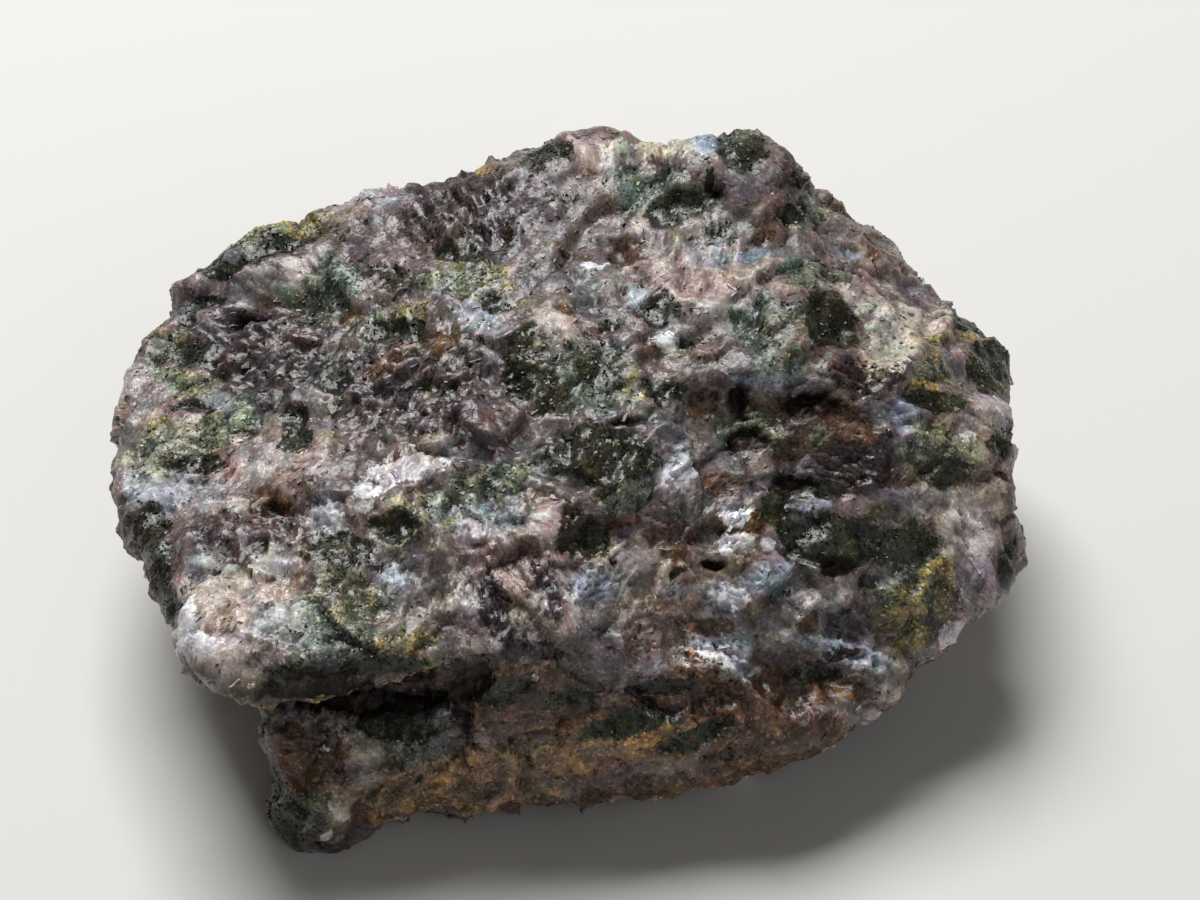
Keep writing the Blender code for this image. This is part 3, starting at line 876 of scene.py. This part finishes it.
# %% Small boxes, turned and sunk into the stone
BOX = np.array(list(np.ndindex(2, 2, 2))) * 2.0 - 1
BOX_SIDES = np.array([(0, 1, 3, 2), (4, 6, 7, 5), (0, 4, 5, 1), (2, 3, 7, 6), (0, 2, 6, 4), (1, 5, 7, 3)])
NARROWEST = 0.55  # of its foot, to which the top of a box may be drawn in
SLANT = 0.35  # how far a side of the top may rise or sink, in half heights
SUNK = 0.85  # how far the middle of a box lies below the surface, in half heights
SHORTEST = 0.3  # a lath that points outwards is shortened, to this at most
UNLIKE = 0.35  # how much the sizes of boxes differ, as a part of themselves
STRANGE = 0.2  # how far a box's minerals may differ from those of the stone beneath


def strewn(wanted, count, chance):
    """Spots on the stone: quads drawn by area times how much they are wanted, and a mix of their corners."""
    corner = points[quads]
    normals = np.cross(corner[:, 2] - corner[:, 0], corner[:, 3] - corner[:, 1])
    likely = np.linalg.norm(normals, axis=1) * wanted[quads[:, 0]]
    drawn = chance.choice(len(quads), count, p=likely / likely.sum())
    spots = np.einsum("pk,pkc->pc", chance.dirichlet(np.ones(4), count), corner[drawn])
    return spots, unit(unit(normals[drawn]) + outward[quads[drawn, 0]]), quads[drawn, 0]


def boxes(spots, along, up, half_sizes, chance):
    """Each box's corners: its half sizes along its axes from its middle, with a narrow, slanted top."""
    local = BOX * half_sizes[:, None, :]
    top = BOX[:, 2] > 0
    local[:, top, :2] *= chance.uniform(NARROWEST, 1.0, (len(spots), top.sum(), 2))
    slant = chance.uniform(-SLANT, SLANT, (len(spots), 2))
    local[:, top, 2] *= 1 + slant @ BOX[top, :2].T
    axes = np.stack([along, np.cross(up, along), up], axis=1)
    return spots[:, None] + np.einsum("pki,pic->pkc", local, axes)


def set_in(name, wanted, count, half_sizes, lean, shade, seed):
    """A mesh of boxes, each with the minerals and crystal frame of the spot that it is set in."""
    chance = np.random.default_rng(seed)
    spots, up, source = strewn(wanted, count, chance)
    up = unit(up + lean * chance.normal(0, 1, up.shape))
    along = long_axes[source] + untidy[source, None] * chance.normal(0, 1, up.shape)
    flat = along - up * np.sum(along * up, axis=1, keepdims=True)
    halves = np.array(half_sizes) * np.exp(UNLIKE * chance.normal(0, 1, up.shape))
    lying = np.clip(np.linalg.norm(flat, axis=1), SHORTEST, 1)
    halves[:, 0] = np.maximum(halves[:, 0] * lying, halves[:, 1])
    corners = boxes(spots - SUNK * up * halves[:, 2:], unit(flat), up, halves, chance).reshape(-1, 3)
    corners[:, 2] = np.maximum(corners[:, 2], 0.0)
    sides = (BOX_SIDES[None] + 8 * np.arange(count)[:, None, None]).reshape(-1, 4)
    eight = np.repeat(source, 8)
    details = {label: values[eight] for label, values in described.items()}
    for label in minerals:
        details[label] = details[label] + np.repeat(chance.uniform(-STRANGE, STRANGE, count), 8)
    details["laths"] = details["laths"] + (corners - points[eight]) * MILLIMETRE
    details["shade"] = np.repeat(shade * chance.normal(0, 1, count), 8)
    details["cut"] = np.ones(len(corners))
    return make_mesh(name, corners, sides, details, False)


FEWER = 1
CLOT_RISE = 3.0  # how fast blocks grow more frequent from a clot's edge inwards
open_face = above_rest * (minerals["hollow"] < 0)
clotted = np.clip(CLOT_RISE * np.max([minerals[name] for name in CRUMBLED], axis=0), 0, 1)
plagioclase = set_in("plagioclase_laths", (1 - loose) * open_face, 6000 // FEWER,
                     half_sizes=(0.30, 0.13, 0.07), lean=0.06, shade=0.35, seed=200)
pyroxene = set_in("pyroxene_blocks", clotted * open_face, 12000 // FEWER,
                  half_sizes=(0.13, 0.10, 0.08), lean=0.20, shade=0.6, seed=201)
for piece in (plagioclase, pyroxene):
    print(piece.name, "has", len(piece.data.polygons), "faces")

# %% [markdown]
# ## The finish
#
# Every mineral has its colours, but what the eye sees first is grain: thousands of tiny crystals, each a
# little lighter or darker than the next and each turned its own way. The material makes them once, as
# streaks, laths and grains that all the minerals share. It is made shinier for the open faces and duller
# for the hollows.

# %% Colours and node helpers
def linear(code):
    """An sRGB hex colour as linear light: each channel to the power that the sRGB rule gives."""
    channels = [int(code[i:i + 2], 16) / 255 for i in (1, 3, 5)]
    return [c / 12.92 if c <= 0.04045 else ((c + 0.055) / 1.055) ** 2.4 for c in channels] + [1.0]


def per_metre(millimetres):
    """How often a pattern of that size repeats in a metre, which is what a texture node's scale means."""
    return 1 / (millimetres * MILLIMETRE)


def add_node(tree, kind, into=None, **settings):
    """Adds a node. Each entry of into is an input's value, or the socket that feeds it."""
    made = tree.nodes.new(kind)
    for setting, value in settings.items():
        setattr(made, setting, value)
    for name, value in (into or {}).items():
        if isinstance(value, bpy.types.NodeSocket):
            tree.links.new(value, made.inputs[name])
        else:
            made.inputs[name].default_value = value
    return made


def set_inputs(node, values):
    """Sets several of a node's inputs."""
    for name, value in values.items():
        node.inputs[name].default_value = value


def new_material(name):
    """A material, its node tree, and the node in it that shades."""
    material = bpy.data.materials.new(name)
    material.use_nodes = True
    return material, material.node_tree, material.node_tree.nodes["Principled BSDF"]


def number(tree, operation, *values):
    """A number worked out from numbers and sockets."""
    return add_node(tree, "ShaderNodeMath", dict(enumerate(values)), operation=operation).outputs[0]


def vector(tree, operation, *values):
    """The same with vectors."""
    made = add_node(tree, "ShaderNodeVectorMath", dict(enumerate(values)), operation=operation)
    return made.outputs["Vector"]


def attribute(tree, label, kind="Fac"):
    """What the mesh says at each point under this label."""
    return add_node(tree, "ShaderNodeAttribute", attribute_name=label).outputs[kind]


def between(tree, value, low, high):
    """From 0 where the value is low or less to 1 where it is high or more."""
    made = add_node(tree, "ShaderNodeMapRange", {"Value": value, "From Min": low, "From Max": high})
    return made.outputs["Result"]


print("lilac grey is", [round(c, 3) for c in linear("#9a9095")], "in linear light")

# %% Each mineral's colours, from its darkest crystals to its palest
PLAGIOCLASE = ("#282020", "#534845", "#756b68", "#b6ada9")
PALETTES = {
    "lilac": ("#2f2623", "#70605a", "#a09189", "#dfd6cf"),
    "speckled": ("#090b08", "#2e332b", "#6d7367", "#b8bdb0"),
    "violet": ("#0b0707", "#271e1f", "#493e3f", "#908384"),
    "bluish": ("#303135", "#77797e", "#a5a7ac", "#e1e2e7"),
    "pinkish": ("#4b3f3d", "#897c79", "#b6aaa6", "#ece1dc"),
    "white": ("#656265", "#b0adb1", "#e4e2e6", "#ffffff"),
    "cream": ("#4a443b", "#9e9587", "#d0c8b9", "#f4ecdf"),
    "brown": ("#0f0805", "#35241a", "#634a38", "#b09277"),
    "rust_and_glint": ("#0f0a0a", "#38292a", "#6a5046", "#ffb482"),
    "ochre": ("#0c0a04", "#4b4025", "#998855", "#f0e0a8"),
    "stained": ("#140c05", "#5e4628", "#b38a54", "#f4cf96"),
    "olive": ("#0c0d08", "#474939", "#9b9c82", "#e0d8ae"),
    "pyroxene": ("#040402", "#17180f", "#303122", "#7a7656"),
    # Painted shade: the hollows' near-black colours stand for the shade that falls in pits, the cavity and
    # the notch.
    "hollow": ("#030202", "#0f0b08", "#281e16", "#5a4838"),
}
LIGHTNESS_STOPS = (0.10, 0.38, 0.62, 0.95)
# How far a mineral's edge breaks up into grains and laths, if not by the plain amount.
DISSOLVED = {"ochre": 2.6, "rust_and_glint": 2.5, "olive": 1.8, "white": 1.3, "cream": 1.8, "stained": 2.0}
# How softly a mineral passes into the next, if not sharply.
BLENDED = {"hollow": 0.35, "olive": 0.12, "brown": 0.15, "lilac": 0.3, "bluish": 0.3, "pinkish": 0.25,
           "violet": 0.2, "cream": 0.2, "stained": 0.5}
SHARP = 0.08


def ramp(tree, lightness, colours):
    """The colour for each lightness, blended between four stops."""
    made = add_node(tree, "ShaderNodeValToRGB", {"Fac": lightness})
    stops = made.color_ramp.elements
    while len(stops) < len(colours):
        stops.new(0.5)
    for stop, place, code in zip(stops, LIGHTNESS_STOPS, colours):
        stop.position = place
        stop.color = linear(code)
    return made.outputs["Color"]


def mineral_colours(tree, lightness, ragged):
    """Plagioclase, and over it each mineral in turn, wherever a point is inside its ragged edge."""
    colour = ramp(tree, lightness, PLAGIOCLASE)
    for name, palette in PALETTES.items():
        inside = number(tree, "MULTIPLY_ADD", ragged, DISSOLVED.get(name, 1.0), attribute(tree, name))
        soft = BLENDED.get(name, SHARP)
        share = between(tree, inside, -soft, soft)
        over = {0: share, 6: colour, 7: ramp(tree, lightness, palette)}
        colour = add_node(tree, "ShaderNodeMix", over, data_type="RGBA").outputs[2]
    return colour


print(len(PALETTES) + 1, "palettes of", len(LIGHTNESS_STOPS), "colours")

# %% The pattern that all minerals share
STREAK_SIZE = 0.22  # mm: fine plates seen edge on, as bright and dark streaks
STREAK_SHAPE = (0.12, 1.0, 0.6)  # how fast they change each way, along the crystal first
BLOTCH_SIZE = 1.1  # mm: where a crystal is clear or clouded
LATH_SIZE = 0.8  # mm: the length of one lath
LATH_SHAPE = (0.45, 1.2, 1.0)
GRAIN_SIZE = 0.17  # mm: the finest grains that still show
GLINT_POWER = 5.0  # the higher it is, the fewer grains glint
NOISE_DETAIL = 2.0  # how many finer noises are added to one
NOISE_RANGE = (0.3, 0.7)  # the part of it that is stretched to run from 0 to 1
DARKEST = 0.145  # the lightness to which all these are added, each times its own amount
# Of these, the brightest grains are painted highlights, a point's height over its surroundings gives painted
# shade in crevices and painted light on edges, and the clouds carry painted shade at the feet of comb plates.
LIGHTER_BY = {"cloud_and_plate_shade": 0.24, "streak": 0.16, "blotch": 0.17, "lath": 0.11, "grain": -0.12, "glint": 0.24,
              "shade": 0.10, "crevice_shade_edge_light": 0.08}
NARROWEST_EDGE = -0.25  # the same for how far each crystal reaches past its mineral's edge
FURTHER_BY = {"broken lath": 0.20, "grain": 0.16, "streak": 0.14}


def noise(tree, where, size):
    """Soft noise with waves of that size."""
    made = add_node(tree, "ShaderNodeTexNoise", {"Vector": where, "Scale": per_metre(size),
                                                 "Detail": NOISE_DETAIL})
    return between(tree, made.outputs["Fac"], *NOISE_RANGE)


def cells(tree, where, size):
    """Flat cells of that size, each with a colour of its own, and that colour's three numbers."""
    made = add_node(tree, "ShaderNodeTexVoronoi", {"Vector": where, "Scale": per_metre(size)})
    colour = made.outputs["Color"]
    return colour, add_node(tree, "ShaderNodeSeparateColor", {"Color": colour}).outputs


def added(tree, total, pattern, amounts):
    """The total plus each part of the pattern times its amount."""
    for name, amount in amounts.items():
        total = number(tree, "MULTIPLY_ADD", pattern[name], amount, total)
    return total


def own_vector(tree, lath, grain, share):
    """A small vector for each crystal: the lath's colour and a share of the grain's, less their average."""
    both = vector(tree, "MULTIPLY_ADD", grain, (share, share, share), lath)
    mean = (1 + share) / 2
    return vector(tree, "SUBTRACT", both, (mean, mean, mean))


# %% Freshly broken gabbro: silicate crystals, glassy on their cleavages, with a duller copy for the hollows
SILICATE_IOR = 1.56
COAT_ROUGHNESS = 0.15
SMOOTHEST, ROUGHEST = 0.22, 0.5  # how rough a grain may be
TINTED = 0.12  # how strongly each crystal's own tint shows
GRAIN_TINT = 0.5  # a grain's share in the tint
GRAIN_LEAN = 0.7  # a grain's share in how far a crystal is turned
LEAN = 0.27  # how far crystals are turned from the surface
BOX_LEAN = -0.10  # added to that for a box, which is turned already


def broken_gabbro(name, gloss, coat):
    """Streaks, laths and grains give each crystal its lightness and tilt; attributes choose its mineral."""
    material, tree, shader = new_material(name)
    here = add_node(tree, "ShaderNodeTexCoord").outputs["Object"]
    in_crystal = attribute(tree, "laths", "Vector")
    lath, lath_parts = cells(tree, vector(tree, "MULTIPLY", in_crystal, LATH_SHAPE), LATH_SIZE)
    grain, grain_parts = cells(tree, here, GRAIN_SIZE)
    pattern = {
        "streak": noise(tree, vector(tree, "MULTIPLY", in_crystal, STREAK_SHAPE), STREAK_SIZE),
        "blotch": noise(tree, here, BLOTCH_SIZE),
        "lath": lath_parts[0],
        "broken lath": lath_parts[1],
        "grain": grain_parts[1],
        # Painted highlight: the brightest grains are made paler in colour, as small glints.
        "glint": number(tree, "POWER", grain_parts[0], GLINT_POWER),
        **{label: attribute(tree, label) for label in ("cloud_and_plate_shade", "shade", "crevice_shade_edge_light")},
    }
    lightness = added(tree, DARKEST, pattern, LIGHTER_BY)
    colour = mineral_colours(tree, lightness, added(tree, NARROWEST_EDGE, pattern, FURTHER_BY))

    # No two crystals have quite the same tint. Soft light leaves the colour alone where the tint is a half.
    tint = vector(tree, "ADD", own_vector(tree, lath, grain, GRAIN_TINT), attribute(tree, "tint", "Vector"))
    tint = vector(tree, "ADD", tint, (0.5, 0.5, 0.5))
    tinted = add_node(tree, "ShaderNodeMix", {0: TINTED, 6: colour, 7: tint}, data_type="RGBA",
                      blend_type="SOFT_LIGHT")
    tree.links.new(tinted.outputs[2], shader.inputs["Base Color"])

    # Each crystal is turned its own way, so that the same light finds some and misses others.
    normal = add_node(tree, "ShaderNodeNewGeometry").outputs["Normal"]
    far = number(tree, "MULTIPLY_ADD", attribute(tree, "cut"), BOX_LEAN, LEAN)
    leaning = vector(tree, "MULTIPLY_ADD", own_vector(tree, lath, grain, GRAIN_LEAN), far, normal)
    tree.links.new(vector(tree, "NORMALIZE", leaning), shader.inputs["Normal"])
    rough = number(tree, "MULTIPLY_ADD", grain_parts[2], ROUGHEST - SMOOTHEST, SMOOTHEST)
    tree.links.new(rough, shader.inputs["Roughness"])
    set_inputs(shader, {"IOR": SILICATE_IOR, "Specular IOR Level": gloss, "Coat Weight": coat,
                        "Coat Roughness": COAT_ROUGHNESS})
    return material


finish = broken_gabbro("freshly broken gabbro", gloss=0.35, coat=0.05)
dull = broken_gabbro("dull gabbro in the hollows", gloss=0.1, coat=0.0)
for piece in (stone, plagioclase, pyroxene):
    piece.data.materials.append(finish)
    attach(piece, "root")
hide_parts("gabbro")
stone.data.materials.append(dull)
stone.data.polygons.foreach_set("material_index", (minerals["hollow"][quads[:, 0]] > 0).astype(np.int32))
print("the finish has", len(finish.node_tree.nodes), "nodes")

# %% [markdown]
# ## Floor, light and camera
#
# The stone stands on a plain pale board under a broad soft lamp behind and above it, so its near side falls
# into shade as the real one does. The camera is the one that the minerals were marked through.

# %% Matt painted board: nearly white, with hardly any gloss
FLOOR_HALF = 1500.0  # mm
around_stone = FLOOR_HALF * np.array([(-1, -1, 0), (1, -1, 0), (1, 1, 0), (-1, 1, 0)]) + np.array(MIDDLE)
floor = make_mesh("floor", around_stone, np.array([(0, 1, 2, 3)]), {}, False)
board, _, shader = new_material("matt pale board")
set_inputs(shader, {"Base Color": linear("#d0cfcc"), "Roughness": 0.9, "Specular IOR Level": 0.2})
floor.data.materials.append(board)
print("the floor is", 2 * FLOOR_HALF, "mm square")

# %% Soft light
LAMPS = {  # compass direction and tilt in degrees, distance and width in metres, power in watts
    "key": (110, 61, 0.6, 0.34, 5.1),
    "fill": (300, 35, 0.8, 0.6, 0.85),
}


def soft_lamp(name, azimuth, tilt, away, size, power):
    """A square lamp in a compass direction from the stone, turned to face it."""
    lamp = bpy.data.lights.new(name, "AREA")
    lamp.size = size
    lamp.energy = power
    thing = placed(name, lamp)
    thing.location = Vector(compass(azimuth, tilt) * away)
    thing.rotation_euler = (-thing.location).to_track_quat("-Z", "Y").to_euler()


for name, values in LAMPS.items():
    soft_lamp(name, *values)
world = bpy.data.worlds.new("studio")
world.use_nodes = True
set_inputs(world.node_tree.nodes["Background"], {"Color": linear("#e8e4dd"), "Strength": 0.1})
bpy.context.scene.world = world
bpy.context.scene.view_settings.view_transform = "Standard"
print(len(LAMPS), "lamps and a dim sky")

# %% The camera
SENSOR = 36.0  # mm
NEAREST = 0.01  # metres: nothing nearer to the lens is drawn
camera = bpy.data.cameras.new("camera")
camera.sensor_width = SENSOR
camera.lens = SENSOR * FOCAL_PIXELS / PICTURE[0]
camera.clip_start = NEAREST
viewer = placed("camera", camera)
viewer.location = Vector((LENS_AT - np.array(MIDDLE)) * MILLIMETRE)
viewer.rotation_euler = Vector(LOOKING).to_track_quat("-Z", "Y").to_euler()
bpy.context.scene.camera = viewer
print("a", round(camera.lens, 1), "mm lens at", [round(x, 3) for x in viewer.location])
